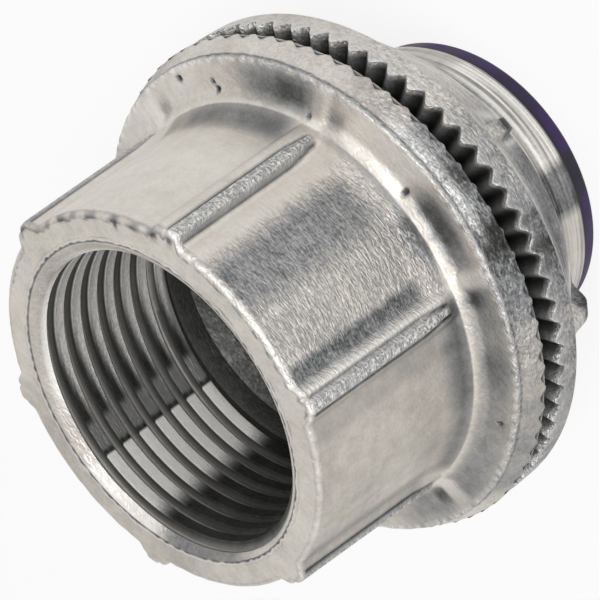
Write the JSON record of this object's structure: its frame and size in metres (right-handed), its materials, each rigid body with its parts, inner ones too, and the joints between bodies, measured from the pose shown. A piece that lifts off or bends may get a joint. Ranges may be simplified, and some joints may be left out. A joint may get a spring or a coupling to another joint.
{
  "type": "conduit hub",
  "caption": "Round threaded conduit hub with a ribbed barrel, a serrated flange with a sealing ring, a conical serrated locknut and a plastic throat liner.",
  "frame": {"origin": "on the thread axis at the liner's free end, which is the lowest face", "axes": "+Z along the thread axis from the nipple's end to the conduit mouth; +X through one rib"},
  "size_m": [0.0428, 0.0428, 0.0372],
  "materials": {
    "hub_casting": "as-cast zinc alloy, satin with a fine hammered skin and small casting pits",
    "ring_rubber": "moulded elastomer, matt",
    "nut_casting": "as-cast zinc alloy, satin, bright on the tooth edges",
    "liner_plastic": "moulded nylon, satin"
  },
  "bodies": {
    "hub": {"hub_body": "hub_casting", "sealing_ring": "ring_rubber", "throat_liner": "liner_plastic"},
    "nut": {"locknut": "nut_casting"}
  },
  "joints": [
    {"name": "nut_travel", "type": "slide", "parent": "hub", "child": "nut", "axis": [0, 0, 1], "range_m": [-0.0055, 0.0013]}
  ]
}
